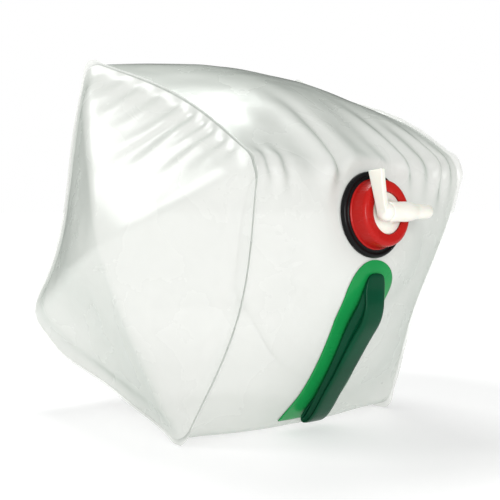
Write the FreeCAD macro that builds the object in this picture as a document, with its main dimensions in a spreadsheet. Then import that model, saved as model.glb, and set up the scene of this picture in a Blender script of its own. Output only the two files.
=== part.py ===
import FreeCAD, Part
import math
import os
import Sketcher

# Collapsible cube water carrier. The carrier's own frame has X across, the spout side
# at -Y and +Z up; it is then tipped forward onto its front-bottom fold and stands on
# the flat that the fold and the slack of the bottom make. World Z = 0 is the ground.

doc = FreeCAD.newDocument("WaterCarrier")
sheet = doc.addObject("Spreadsheet::Sheet", "Sizes")

sizes = {
    # film body
    "bag_width": 250, "end_half": 128, "end_corner": 22, "end_bulge": 2,
    "mid_half": 131, "mid_corner": 14, "front_bulge": 28, "top_bulge": 22,
    "back_bulge": 24, "bottom_bulge": 62, "film": 0.8, "fin_width": 4,
    "panel_bulge": 38, "lip_width": 6, "tip_angle": 22.5,
    # spout: where its axis leaves the film, and its lean above the front panel
    "spout_out": 10, "spout_drop": 43, "spout_tilt": 28, "land_margin": 2,
    "land_slope": 16, "land_depth": 10,
    # neck fitting
    "flange_radius": 36, "flange_thick": 3, "bead_width": 3.5, "bead_height": 1.4,
    "neck_radius": 22, "neck_height": 13, "neck_bore": 15.5, "tail_radius": 19,
    "tail_length": 10, "hole_clearance": 0.3, "nut_radius": 30, "nut_thick": 6,
    "gasket_thick": 1.5, "seat_clearance": 0.05,
    # ring cap
    "cap_base_radius": 29.5, "cap_front_radius": 27, "cap_lip": 3, "cap_hole": 17.6,
    "cap_clearance": 0.35, "cap_base_gap": 0.4, "cap_round": 2.4,
    # tap
    "tap_flange_radius": 20.8, "tap_flange_thick": 2, "washer_thick": 1.3,
    "boss_radius": 17.2, "boss_stand": 0.3, "hub_stand": 9, "tube_radius": 8.4,
    "tube_left": 15, "tube_right": 18, "outlet_radius": 5.9, "outlet_length": 22,
    "outlet_bore": 4, "plug_radius": 6.2, "plug_fit": 0.05, "plug_end": 12,
    "inlet_bore": 4.5, "snap_depth": 0.45, "snap_gap": 0.15, "snap_width": 1.4,
    "snap_inset": 2.2, "dome_length": 9.5, "dome_gap": 0.3,
    "lever_thick": 5, "lever_reach": 37, "lever_root": 5.5, "lever_back": 10.5,
    "lever_front": 7, "lever_round": 1.5, "seal_wire": 0.8, "seal_inset": 5.2,
    # handle
    "patch_thick": 0.9, "patch_gap": 0.2, "patch_top": 52, "patch_bottom": 112, "patch_half": 26.5,
    "grip_width": 20, "grip_height": 18, "grip_thick": 6, "grip_top": 38,
    "grip_bottom": 104, "foot_length": 12, "foot_thick": 2.5, "shoulder": 20,
    "channel_depth": 3, "channel_rail": 1.6, "stud_radius": 4, "stud_shank": 2, "stud_head": 1.8,
}
for row, (name, amount) in enumerate(sizes.items(), start=1):
    sheet.set(f"A{row}", name)
    sheet.set(f"B{row}", str(amount))
    sheet.setAlias(f"B{row}", name)
doc.recompute()


def value(expression):
    amount = sheet.evalExpression(expression)
    return float(getattr(amount, "Value", amount))


def plane(body, role):
    return next(f for f in body.Origin.OriginFeatures if f.Role == role)


def new_sketch(body, name, role, offset="0"):
    sketch = body.newObject("Sketcher::SketchObject", name)
    sketch.AttachmentSupport = [(plane(body, role), "")]
    sketch.MapMode = "FlatFace"
    if offset != "0":
        sketch.AttachmentOffset = FreeCAD.Placement(
            FreeCAD.Vector(0, 0, value(offset)), FreeCAD.Rotation())
        sketch.setExpression("AttachmentOffset.Base.z", offset)
    return sketch


def pin_point(sketch, geometry, end, across, up):
    # hold one point at a place given by two expressions, whatever their signs
    for kind, expression in (("DistanceX", across), ("DistanceY", up)):
        amount = value(expression)
        if expression == "0":
            axis = -2 if kind == "DistanceX" else -1
            sketch.addConstraint(Sketcher.Constraint("PointOnObject", geometry, end, axis))
        elif amount >= 0:
            index = sketch.addConstraint(
                Sketcher.Constraint(kind, -1, 1, geometry, end, amount))
            sketch.setExpression(f"Constraints[{index}]", expression)
        else:
            index = sketch.addConstraint(
                Sketcher.Constraint(kind, geometry, end, -1, 1, -amount))
            sketch.setExpression(f"Constraints[{index}]", f"-({expression})")


def polygon(sketch, corners):
    points = [FreeCAD.Vector(value(x), value(y), 0) for x, y in corners]
    count = len(points)
    for i in range(count):
        sketch.addGeometry(Part.LineSegment(points[i], points[(i + 1) % count]))
    for i in range(count):
        sketch.addConstraint(Sketcher.Constraint("Coincident", i, 2, (i + 1) % count, 1))
    for i, (x, y) in enumerate(corners):
        pin_point(sketch, i, 1, x, y)


def arc_between(start, end, radius):
    chord = end - start
    middle = (start + end) * 0.5
    inward = FreeCAD.Vector(-chord.y, chord.x, 0).normalize()
    centre = middle + inward * math.sqrt(radius ** 2 - chord.Length ** 2 / 4)
    first = math.atan2(start.y - centre.y, start.x - centre.x)
    last = math.atan2(end.y - centre.y, end.x - centre.x)
    circle = Part.Circle(centre, FreeCAD.Vector(0, 0, 1), radius)
    return Part.ArcOfCircle(circle, first, last if last > first else last + 2 * math.pi)


def cushion_section(body, name, station, half, corner, bulges, round_factor):
    """A square with bowed sides and rounded corners, across the carrier."""
    sketch = new_sketch(body, name, "YZ_Plane", station)
    near = f"({half} - ({corner}))"
    ring = [(half, f"-{near}"), (half, near), (near, half), (f"-{near}", half),
            (f"-({half})", near), (f"-({half})", f"-{near}"),
            (f"-{near}", f"-({half})"), (near, f"-({half})")]
    back, top, front, bottom = [f"(({near})^2 + ({b})^2) / (2 * ({b}))" for b in bulges]
    turn = f"({corner}) * {round_factor}"
    radii = [back, turn, top, turn, front, turn, bottom, turn]
    points = [FreeCAD.Vector(value(u), value(v), 0) for u, v in ring]
    for i, radius in enumerate(radii):
        sketch.addGeometry(arc_between(points[i], points[(i + 1) % 8], value(radius)))
    for i in range(8):
        sketch.addConstraint(Sketcher.Constraint("Coincident", i, 2, (i + 1) % 8, 1))
    for i, (u, v) in enumerate(ring):
        pin_point(sketch, i, 1, u, v)
    for i, radius in enumerate(radii):
        index = sketch.addConstraint(Sketcher.Constraint("Radius", i, value(radius)))
        sketch.setExpression(f"Constraints[{index}]", radius)
    return sketch


def loft(body, name, sections, ruled=False):
    feature = body.newObject("PartDesign::AdditiveLoft", name)
    feature.Profile = sections[0]
    feature.Sections = sections[1:]
    feature.Ruled = ruled
    return feature


def pad(body, name, sketch, length, midplane=False, reverse=False):
    feature = body.newObject("PartDesign::Pad", name)
    feature.Profile = sketch
    feature.Length = value(length)
    feature.setExpression("Length", length)
    if midplane:
        feature.Midplane = True
    feature.Reversed = reverse
    return feature


def revolve(body, name, corners, about="V_Axis", cut=False):
    sketch = new_sketch(body, name + "_profile", "XZ_Plane")
    polygon(sketch, corners)
    kind = "PartDesign::Groove" if cut else "PartDesign::Revolution"
    feature = body.newObject(kind, name)
    feature.Profile = sketch
    feature.ReferenceAxis = (sketch, [about])
    feature.Angle = 360
    return feature


def round_edges(body, base, radius, wanted):
    doc.recompute()
    picked = [f"Edge{i}" for i, edge in enumerate(base.Shape.Edges, start=1) if wanted(edge)]
    feature = body.newObject("PartDesign::Fillet", base.Name + "_round")
    feature.Base = (base, picked)
    feature.Radius = value(radius)
    feature.setExpression("Radius", radius)
    return feature


def new_body(name):
    return doc.addObject("PartDesign::Body", name)


def boolean(kind, name, base, tool):
    result = doc.addObject("Part::" + kind, name)
    result.Base = base
    result.Tool = tool
    return result


def turn_and_move(item, angle, base_y, base_z):
    item.Placement = FreeCAD.Placement(
        FreeCAD.Vector(0, value(base_y), value(base_z)),
        FreeCAD.Rotation(FreeCAD.Vector(1, 0, 0), value(angle)))
    item.setExpression("Placement.Rotation.Angle", angle)
    item.setExpression("Placement.Base.y", base_y)
    item.setExpression("Placement.Base.z", base_z)


# Places that several pieces share.
TIP = "Sizes.tip_angle"
END_X = "Sizes.bag_width / 2"
LIFT = ("((Sizes.end_half - Sizes.end_corner) * (sin(Sizes.tip_angle) + cos(Sizes.tip_angle))"
        " + Sizes.end_corner + Sizes.fin_width)")
SPOUT_Y = "(-Sizes.mid_half - Sizes.spout_out)"
SPOUT_Z = "(Sizes.mid_half - Sizes.spout_drop)"
SPOUT_ANGLE = "(90 - Sizes.spout_tilt)"
SPOUT_WORLD_ANGLE = "(90 - Sizes.spout_tilt + Sizes.tip_angle)"
SPOUT_WORLD_Y = f"({SPOUT_Y} * cos({TIP}) - {SPOUT_Z} * sin({TIP}))"
SPOUT_WORLD_Z = f"({SPOUT_Y} * sin({TIP}) + {SPOUT_Z} * cos({TIP}) + {LIFT})"
NUT_FACE = "(Sizes.film + Sizes.gasket_thick)"
WASHER_TOP = "(Sizes.neck_height + Sizes.washer_thick)"
TAP_FLANGE_TOP = f"({WASHER_TOP} + Sizes.tap_flange_thick)"
CAP_FRONT = f"({TAP_FLANGE_TOP} + Sizes.cap_lip)"
HUB = f"({CAP_FRONT} + Sizes.hub_stand)"

finished = {}


def finish_on_bag(item, label):
    item.Label = label
    turn_and_move(item, TIP, "0", LIFT)
    finished[label] = item


def finish_on_spout(item, label, along="0"):
    # along is the distance out of the film, on the spout's own axis
    item.Label = label
    turn_and_move(item, SPOUT_WORLD_ANGLE,
                  f"{SPOUT_WORLD_Y} - ({along}) * sin({SPOUT_WORLD_ANGLE})",
                  f"{SPOUT_WORLD_Z} + ({along}) * cos({SPOUT_WORLD_ANGLE})")
    finished[label] = item


# The wrap: front, top, back and bottom in one film. grow is how far the surface lies
# outside the film's outer face.
def wrap_solid(name, grow):
    body = new_body(name)
    bulges = ["Sizes.back_bulge", "Sizes.top_bulge", "Sizes.front_bulge", "Sizes.bottom_bulge"]
    end_bulges = ["Sizes.end_bulge"] * 4
    stations = [f"-({END_X})", "0", END_X]
    sections = []
    for index, station in enumerate(stations):
        middle = index == 1
        half = f"(Sizes.{'mid' if middle else 'end'}_half + ({grow}))"
        corner = "Sizes.mid_corner" if middle else f"(Sizes.end_corner + ({grow}))"
        sections.append(cushion_section(body, f"{name}_section_{index}", station, half, corner,
                                        bulges if middle else end_bulges, 2 if middle else 1))
    loft(body, name + "_loft", sections)
    return body


def fin_plate(body, name, station, reverse):
    sketch = cushion_section(body, name + "_outline", station,
                             "(Sizes.end_half + Sizes.fin_width)",
                             "(Sizes.end_corner + Sizes.fin_width)",
                             ["Sizes.end_bulge"] * 4, 1)
    return pad(body, name, sketch, "Sizes.film", reverse=reverse)


wrap_outer = wrap_solid("wrap_outer", "0")
fin_plate(wrap_outer, "wrap_fin_right", END_X, True)
fin_plate(wrap_outer, "wrap_fin_left", f"-({END_X})", False)
# closing seam: a welded lip along the top-back fold
lip_sketch = new_sketch(wrap_outer, "closing_lip_outline", "YZ_Plane")
LIP_OUT = "(Sizes.mid_half - Sizes.mid_corner / 2 + Sizes.lip_width)"
LIP_IN = "(Sizes.mid_half - Sizes.mid_corner)"
polygon(lip_sketch, [(LIP_IN, f"({LIP_IN} - Sizes.film)"), (LIP_OUT, f"({LIP_OUT} - Sizes.film)"),
                     (f"({LIP_OUT} - Sizes.film)", LIP_OUT), (f"({LIP_IN} - Sizes.film)", LIP_IN)])
pad(wrap_outer, "closing_lip", lip_sketch, "Sizes.bag_width", midplane=True)
wrap_void = wrap_solid("wrap_void", "-Sizes.film")
patch_seat = wrap_solid("patch_seat", "Sizes.patch_gap")
PATCH_FACE = "(Sizes.patch_gap + Sizes.patch_thick)"
patch_skin = wrap_solid("patch_skin", PATCH_FACE)
GRIP_FACE = f"({PATCH_FACE} + Sizes.patch_gap)"
grip_seat = wrap_solid("grip_seat", GRIP_FACE)


def ground_block(name, raised):
    # everything below the ground, or below the film's inner face
    block = doc.addObject("Part::Box", name)
    reach = "(2 * Sizes.bag_width)"
    for prop, expression in (("Length", reach), ("Width", reach), ("Height", reach)):
        setattr(block, prop, value(expression))
        block.setExpression(prop, expression)
    corner_y = f"(-{reach} / 2)"
    corner_z = f"({raised} - {reach} - {LIFT})"
    block.Placement = FreeCAD.Placement(
        FreeCAD.Vector(0, 0, 0), FreeCAD.Rotation(FreeCAD.Vector(1, 0, 0), -value(TIP)))
    block.setExpression("Placement.Rotation.Angle", TIP)
    block.Placement.Rotation = FreeCAD.Rotation(FreeCAD.Vector(-1, 0, 0), value(TIP))
    block.setExpression("Placement.Base.x", f"-{reach} / 2")
    block.setExpression("Placement.Base.y", f"{corner_y} * cos({TIP}) + {corner_z} * sin({TIP})")
    block.setExpression("Placement.Base.z", f"{corner_z} * cos({TIP}) - {corner_y} * sin({TIP})")
    return block


def spout_cone(name, inner, outer, height, along):
    cone = doc.addObject("Part::Cone", name)
    for prop, expression in (("Radius1", inner), ("Radius2", outer), ("Height", height)):
        setattr(cone, prop, value(expression))
        cone.setExpression(prop, expression)
    turn_and_move(cone, SPOUT_ANGLE,
                  f"{SPOUT_Y} - ({along}) * sin({SPOUT_ANGLE})",
                  f"{SPOUT_Z} + ({along}) * cos({SPOUT_ANGLE})")
    return cone


# The film is drawn flat under the flange: it rises to it below and is pressed in above.
LAND = "(Sizes.flange_radius + Sizes.land_margin)"
WIDE = f"({LAND} + Sizes.land_slope)"


# inside is how far the surface lies under the film's outer face. An outer layer is
# carried deeper, past the foot of the layer below it.
def with_land(name, solid, inside, deeper="0"):
    foot = f"({WIDE} - ({inside}) + ({deeper}) * Sizes.land_slope / Sizes.land_depth)"
    rise = spout_cone(name + "_rise", foot, f"{LAND} - ({inside})",
                      f"Sizes.land_depth + ({deeper})",
                      f"-Sizes.land_depth - ({inside}) - ({deeper})")
    dish = spout_cone(name + "_dish", LAND, WIDE, "Sizes.land_slope", f"-({inside})")
    joined = boolean("Fuse", name + "_joined", solid, rise)
    return boolean("Cut", name + "_landed", joined, dish)


outer_landed = with_land("outer", wrap_outer, "0")
void_landed = with_land("void", wrap_void, "Sizes.film")
outer_grounded = boolean("Cut", "outer_grounded", outer_landed, ground_block("ground", "0"))
void_grounded = boolean("Cut", "void_grounded", void_landed,
                        ground_block("ground_inside", "Sizes.film"))
film_shell = boolean("Cut", "film_shell", outer_grounded, void_grounded)
neck_hole = spout_cone("neck_hole", "Sizes.tail_radius + Sizes.hole_clearance",
                       "Sizes.tail_radius + Sizes.hole_clearance",
                       "4 * Sizes.film", "-2 * Sizes.film")
wrap_panel = boolean("Cut", "wrap_panel_film", film_shell, neck_hole)
finish_on_bag(wrap_panel, "wrap_panel")


# The end panels: rounded squares welded round their edge, each filled out to four soft
# facets that meet at the middle.
def end_panel(label, side):
    def station(distance):
        return f"{side} * ({END_X} + {distance})"

    flat = ["Sizes.end_bulge"] * 4
    steps = [("0", "1"), ("Sizes.panel_bulge * 0.56", "0.62"), ("Sizes.panel_bulge", "0.14")]
    outer = new_body(label + "_outer")
    fin_plate(outer, label + "_fin", station("0"), side < 0)
    hollow = new_body(label + "_hollow")
    for body, inset in ((outer, "0"), (hollow, "Sizes.film")):
        sections = []
        for index, (distance, share) in enumerate(steps):
            depth = distance if index == 0 else f"({distance} - {inset})"
            half = f"((Sizes.end_half - {inset}) * {share})"
            corner = f"((Sizes.end_corner - {inset}) * {share})"
            sections.append(cushion_section(body, f"{body.Name}_section_{index}", station(depth),
                                            half, corner, flat, 1))
        loft(body, body.Name + "_loft", sections, ruled=True)
    panel = boolean("Cut", label + "_film", outer, hollow)
    finish_on_bag(panel, label)


end_panel("right_end_panel", 1)
end_panel("left_end_panel", -1)

# Neck fitting: a stepped flange on the film, a neck for the ring cap and a tail inside.
neck = new_body("neck_body")
BEAD_IN = "(Sizes.flange_radius - Sizes.bead_width)"
BEAD_TOP = "(Sizes.flange_thick + Sizes.bead_height)"
revolve(neck, "neck_turned", [
    ("Sizes.neck_bore", "-Sizes.tail_length"), ("Sizes.tail_radius", "-Sizes.tail_length"),
    ("Sizes.tail_radius", "0"), ("Sizes.flange_radius", "0"),
    ("Sizes.flange_radius", "Sizes.flange_thick"),
    ("(Sizes.flange_radius - Sizes.bead_height)", BEAD_TOP), (BEAD_IN, BEAD_TOP),
    (f"({BEAD_IN} - Sizes.bead_height)", "Sizes.flange_thick"),
    ("Sizes.neck_radius", "Sizes.flange_thick"), ("Sizes.neck_radius", "Sizes.neck_height"),
    ("Sizes.neck_bore", "Sizes.neck_height")])
finish_on_spout(neck, "neck_fitting")

gasket = new_body("film_gasket_body")
TAIL_SEAT = "(Sizes.tail_radius + Sizes.seat_clearance)"
revolve(gasket, "film_gasket_turned", [
    (TAIL_SEAT, f"-{NUT_FACE}"), ("(Sizes.nut_radius - 1)", f"-{NUT_FACE}"),
    ("(Sizes.nut_radius - 1)", "-Sizes.film"), (TAIL_SEAT, "-Sizes.film")])
finish_on_spout(gasket, "film_gasket")

nut = new_body("backing_nut_body")
NUT_BOTTOM = f"-({NUT_FACE} + Sizes.nut_thick)"
revolve(nut, "backing_nut_turned", [
    (TAIL_SEAT, NUT_BOTTOM), ("(Sizes.nut_radius - 1)", NUT_BOTTOM),
    ("Sizes.nut_radius", f"({NUT_BOTTOM} + 1)"), ("Sizes.nut_radius", f"-{NUT_FACE}"),
    (TAIL_SEAT, f"-{NUT_FACE}")])
finish_on_spout(nut, "backing_nut")

# Ring cap: a plain skirt over the neck and a lip over the tap's flange.
cap = new_body("screw_ring_body")
CAP_BORE = "(Sizes.neck_radius + Sizes.cap_clearance)"
CAP_BASE = "(Sizes.flange_thick + Sizes.cap_base_gap)"
cap_turned = revolve(cap, "screw_ring_turned", [
    (CAP_BORE, CAP_BASE), ("Sizes.cap_base_radius", CAP_BASE),
    ("Sizes.cap_base_radius", f"({CAP_BASE} + 1.5)"), ("Sizes.cap_front_radius", CAP_FRONT),
    ("Sizes.cap_hole", CAP_FRONT), ("Sizes.cap_hole", f"({TAP_FLANGE_TOP} + Sizes.seat_clearance)"),
    (CAP_BORE, f"({TAP_FLANGE_TOP} + Sizes.seat_clearance)")])


def cap_front_edge(edge):
    curve = edge.Curve
    return (isinstance(curve, Part.Circle) and abs(curve.Center.z - value(CAP_FRONT)) < 0.01
            and abs(curve.Radius - value("Sizes.cap_front_radius")) < 0.01)


round_edges(cap, cap_turned, "Sizes.cap_round", cap_front_edge)
finish_on_spout(cap, "screw_ring")

washer = new_body("cap_gasket_body")
revolve(washer, "cap_gasket_turned", [
    ("Sizes.neck_bore", "Sizes.neck_height"), ("Sizes.tap_flange_radius", "Sizes.neck_height"),
    ("Sizes.tap_flange_radius", WASHER_TOP), ("Sizes.neck_bore", WASHER_TOP)])
finish_on_spout(washer, "cap_gasket")

# Tap body, drawn about its hub: flange and boss on the spout's axis, and a cross tube
# with the outlet at its right end and the plug's socket at its left end.
tap = new_body("tap_body_solid")
FLANGE_BACK = f"({WASHER_TOP} - {HUB})"
FLANGE_FRONT = f"({TAP_FLANGE_TOP} - {HUB})"
BOSS_FRONT = "(Sizes.boss_stand - Sizes.hub_stand)"
revolve(tap, "tap_boss", [
    ("0", FLANGE_BACK), ("Sizes.tap_flange_radius", FLANGE_BACK),
    ("Sizes.tap_flange_radius", FLANGE_FRONT), ("Sizes.boss_radius", FLANGE_FRONT),
    ("Sizes.boss_radius", BOSS_FRONT), ("(Sizes.tube_left - Sizes.dome_gap)", BOSS_FRONT),
    ("(Sizes.tube_radius * 0.9)", "(-Sizes.tube_radius * 0.3)"),
    ("0", "(-Sizes.tube_radius * 0.3)")])
OUTLET_END = "(Sizes.tube_right + Sizes.outlet_length)"
tube = revolve(tap, "tap_tube", [
    ("-Sizes.tube_left", "0"), (OUTLET_END, "0"), (OUTLET_END, "Sizes.outlet_radius"),
    ("(Sizes.tube_right + 1)", "Sizes.outlet_radius"), ("Sizes.tube_right", "Sizes.tube_radius"),
    ("-Sizes.tube_left", "Sizes.tube_radius")], about="H_Axis")
SNAP_LEFT = "(Sizes.snap_inset - Sizes.tube_left)"
SNAP_RIGHT = f"({SNAP_LEFT} + Sizes.snap_width)"
GROOVE_RADIUS = "(Sizes.plug_radius + Sizes.snap_depth)"
revolve(tap, "tap_passage", [
    ("-Sizes.tube_left - 1", "0"), ("-Sizes.tube_left - 1", "Sizes.plug_radius"),
    (SNAP_LEFT, "Sizes.plug_radius"), (SNAP_LEFT, GROOVE_RADIUS), (SNAP_RIGHT, GROOVE_RADIUS),
    (SNAP_RIGHT, "Sizes.plug_radius"), ("Sizes.plug_end", "Sizes.plug_radius"),
    ("Sizes.plug_end", "Sizes.outlet_bore"), (f"{OUTLET_END} + 1", "Sizes.outlet_bore"),
    (f"{OUTLET_END} + 1", "0")], about="H_Axis", cut=True)
revolve(tap, "tap_inlet", [
    ("0", f"{FLANGE_BACK} - 1"), ("Sizes.inlet_bore", f"{FLANGE_BACK} - 1"),
    ("Sizes.inlet_bore", "-Sizes.plug_radius * 0.5"), ("0", "-Sizes.plug_radius * 0.5")],
    cut=True)
finish_on_spout(tap, "tap_body", HUB)

# Plug with its domed hub and lever, which turns inside the cross tube. Its side port
# meets the inlet once the lever has swung a quarter turn forward.
plug = new_body("tap_plug_solid")
PLUG = "(Sizes.plug_radius - Sizes.plug_fit)"
SNAP = f"({GROOVE_RADIUS} - Sizes.snap_gap)"
DOME_FACE = "(-Sizes.tube_left - Sizes.dome_gap)"
DOME_END = f"({DOME_FACE} - Sizes.dome_length)"
SEAL_FLOOR = f"({PLUG} - 2 * Sizes.seal_wire)"


def seal_groove(centre):
    left = f"({centre} - Sizes.seal_wire - 0.1)"
    right = f"({centre} + Sizes.seal_wire + 0.1)"
    return [(left, PLUG), (left, SEAL_FLOOR), (right, SEAL_FLOOR), (right, PLUG)]


SEAL_OUT = "(Sizes.seal_inset - Sizes.tube_left)"
SEAL_IN = "(Sizes.plug_end - 2 * Sizes.seal_wire - 0.8)"
turned = revolve(plug, "plug_turned", [
    (DOME_END, "0"), (DOME_END, "(Sizes.tube_radius * 0.55)"),
    (f"({DOME_END} + 1.2)", "(Sizes.tube_radius * 0.8)"),
    (f"({DOME_END} + 3)", "(Sizes.tube_radius * 0.97)"), (DOME_FACE, "Sizes.tube_radius"),
    (DOME_FACE, PLUG), (f"({SNAP_LEFT} + Sizes.snap_gap)", PLUG),
    (f"({SNAP_LEFT} + Sizes.snap_gap)", SNAP), (f"({SNAP_RIGHT} - Sizes.snap_gap)", SNAP),
    (f"({SNAP_RIGHT} - Sizes.snap_gap)", PLUG),
    *seal_groove(SEAL_OUT), *seal_groove(SEAL_IN),
    ("(Sizes.plug_end - Sizes.dome_gap)", PLUG), ("(Sizes.plug_end - Sizes.dome_gap)", "0")],
    about="H_Axis")
lever_sketch = new_sketch(plug, "lever_outline", "YZ_Plane", DOME_END)
polygon(lever_sketch, [
    ("-Sizes.lever_root * 0.6", "-Sizes.lever_root"), ("Sizes.lever_reach", "-Sizes.lever_back"),
    ("Sizes.lever_reach", "Sizes.lever_front"), ("-Sizes.lever_root * 0.6", "Sizes.lever_root")])
lever = pad(plug, "lever", lever_sketch, "Sizes.lever_thick")


def lever_tip_edge(edge):
    ends = [v.Point for v in edge.Vertexes]
    return (len(ends) == 2 and all(abs(p.y - value("Sizes.lever_reach")) < 0.01 for p in ends)
            and abs(ends[0].z - ends[1].z) < 0.01)


round_edges(plug, lever, "Sizes.lever_round", lever_tip_edge)
revolve(plug, "plug_channel", [
    ("-Sizes.outlet_bore", "0"), ("-Sizes.outlet_bore", "Sizes.outlet_bore"),
    ("(Sizes.plug_end + 1)", "Sizes.outlet_bore"), ("(Sizes.plug_end + 1)", "0")],
    about="H_Axis", cut=True)
port_sketch = new_sketch(plug, "port_outline", "XZ_Plane")
port_sketch.addGeometry(Part.Circle(FreeCAD.Vector(0, 0, 0), FreeCAD.Vector(0, 0, 1),
                                    value("Sizes.outlet_bore")))
port_sketch.addConstraint(Sketcher.Constraint("Coincident", 0, 3, -1, 1))
port_index = port_sketch.addConstraint(
    Sketcher.Constraint("Radius", 0, value("Sizes.outlet_bore")))
port_sketch.setExpression(f"Constraints[{port_index}]", "Sizes.outlet_bore")
port = plug.newObject("PartDesign::Pocket", "plug_port")
port.Profile = port_sketch
port.setExpression("Length", "Sizes.plug_radius + 1")
port.Reversed = True
finish_on_spout(plug, "tap_plug", HUB)

for label, centre in (("plug_seal_outer", SEAL_OUT), ("plug_seal_inner", SEAL_IN)):
    seal = new_body(label + "_body")
    low = f"({SEAL_FLOOR} + 0.02)"
    high = f"({PLUG} - 0.02)"
    revolve(seal, label + "_turned", [
        (f"({centre} - Sizes.seal_wire)", low), (f"({centre} + Sizes.seal_wire)", low),
        (f"({centre} + Sizes.seal_wire)", f"({high} - 0.3)"), (f"({centre} + 0.4)", high),
        (f"({centre} - 0.4)", high), (f"({centre} - Sizes.seal_wire)", f"({high} - 0.3)")],
        about="H_Axis")
    finish_on_spout(seal, label, HUB)


# Handle patch: a thin layer that follows the front film, round at the top and square
# where it meets the bottom fold.
def prism(name, outline, depth_expression, start):
    body = new_body(name)
    sketch = new_sketch(body, name + "_outline", "XZ_Plane", start)
    outline(sketch)
    pad(body, name + "_pad", sketch, depth_expression)
    return body


def patch_outline(sketch):
    half = value("Sizes.patch_half")
    spring = value("Sizes.patch_top - Sizes.patch_half")
    low = -value("Sizes.patch_bottom")
    corner = FreeCAD.Vector
    sketch.addGeometry(Part.LineSegment(corner(half, low, 0), corner(half, spring, 0)))
    sketch.addGeometry(Part.ArcOfCircle(
        Part.Circle(corner(0, spring, 0), corner(0, 0, 1), half), 0, math.pi))
    sketch.addGeometry(Part.LineSegment(corner(-half, spring, 0), corner(-half, low, 0)))
    sketch.addGeometry(Part.LineSegment(corner(-half, low, 0), corner(half, low, 0)))
    sketch.addConstraint(Sketcher.Constraint("Tangent", 0, 2, 1, 1))
    for first, second in ((1, 2), (2, 3), (3, 0)):
        sketch.addConstraint(Sketcher.Constraint("Coincident", first, 2, second, 1))
    pin_point(sketch, 0, 1, "Sizes.patch_half", "-Sizes.patch_bottom")
    pin_point(sketch, 0, 2, "Sizes.patch_half", "(Sizes.patch_top - Sizes.patch_half)")
    pin_point(sketch, 1, 2, "-Sizes.patch_half", "(Sizes.patch_top - Sizes.patch_half)")
    pin_point(sketch, 2, 2, "-Sizes.patch_half", "-Sizes.patch_bottom")


patch_prism = prism("patch_prism", patch_outline, "Sizes.bag_width", "0")
seat_landed = with_land("seat", patch_seat, "-Sizes.patch_gap", "2 * Sizes.patch_gap")
skin_landed = with_land("skin", patch_skin, f"-{PATCH_FACE}", f"2 * {PATCH_FACE}")
patch_block = boolean("Common", "patch_block", skin_landed, patch_prism)
patch_layer = boolean("Cut", "patch_layer", patch_block, seat_landed)
patch_trimmed = boolean("Cut", "patch_trimmed", patch_layer, ground_block("ground_patch", "0.3"))
finish_on_bag(patch_trimmed, "handle_patch")

# Grip: an arch that follows the front's curve and lands on the patch at both ends.
# The front's curve is an arc of this radius about a centre inside the carrier.
SPAN = "(Sizes.mid_half - Sizes.mid_corner)"
CURVE = f"(({SPAN}^2 + Sizes.front_bulge^2) / (2 * Sizes.front_bulge))"
CENTRE_Y = f"({CURVE} - Sizes.mid_half - Sizes.front_bulge)"


def on_front(height, rise):
    # a point of the middle plane at this height, this far outside the patch
    outside = f"({CURVE} + {PATCH_FACE} + Sizes.patch_gap + ({rise}))"
    return (f"({CENTRE_Y} - sqrt({outside}^2 - ({height})^2))", height)


grip = new_body("grip_raw")
grip_sketch = new_sketch(grip, "grip_outline", "YZ_Plane")
TOP = "Sizes.grip_top"
LOW = "-Sizes.grip_bottom"
BAR_IN = "(Sizes.grip_height - Sizes.grip_thick)"
SINK = "-3"
BEND_HIGH = f"({TOP} - Sizes.foot_length - Sizes.shoulder)"
BEND_LOW = f"({LOW} + Sizes.shoulder * 0.6)"
FOOT_HIGH = f"({TOP} - Sizes.foot_length)"
FOOT_LOW = f"({LOW} + Sizes.foot_length * 2)"
outline = [
    on_front(TOP, SINK), on_front(TOP, "Sizes.foot_thick"), on_front(FOOT_HIGH, "Sizes.foot_thick"),
    on_front(f"({FOOT_HIGH} - 2)", "(Sizes.foot_thick + 3)"),
    on_front(f"({BEND_HIGH} + Sizes.shoulder * 0.4)", "(Sizes.grip_height - 1.5)"),
    on_front(BEND_HIGH, "Sizes.grip_height"), on_front(f"({BEND_HIGH} * 0.6 + {BEND_LOW} * 0.4)",
                                                       "Sizes.grip_height"),
    on_front(f"({BEND_HIGH} * 0.3 + {BEND_LOW} * 0.7)", "Sizes.grip_height"),
    on_front(BEND_LOW, "(Sizes.grip_height - 1)"), on_front(f"({LOW} + 4)", "(Sizes.grip_height - 5)"),
    on_front(LOW, "(Sizes.grip_height - 10)"), on_front(LOW, SINK),
    on_front(FOOT_LOW, SINK), on_front(FOOT_LOW, "Sizes.foot_thick"),
    on_front(f"({LOW} + Sizes.foot_length + 1)", "Sizes.foot_thick"),
    on_front(f"({LOW} + Sizes.foot_length + 3)", f"({BAR_IN} - 1)"),
    on_front(f"({BEND_HIGH} * 0.3 + {BEND_LOW} * 0.7)", BAR_IN),
    on_front(f"({BEND_HIGH} * 0.6 + {BEND_LOW} * 0.4)", BAR_IN),
    on_front(f"({BEND_HIGH} + 1)", BAR_IN),
    on_front(f"({FOOT_HIGH} - 6)", "(Sizes.foot_thick + 0.5)"), on_front(f"({FOOT_HIGH} - 6)", SINK)]
polygon(grip_sketch, outline)
grip_pad = pad(grip, "grip_pad", grip_sketch, "Sizes.grip_width", midplane=True)

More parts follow.
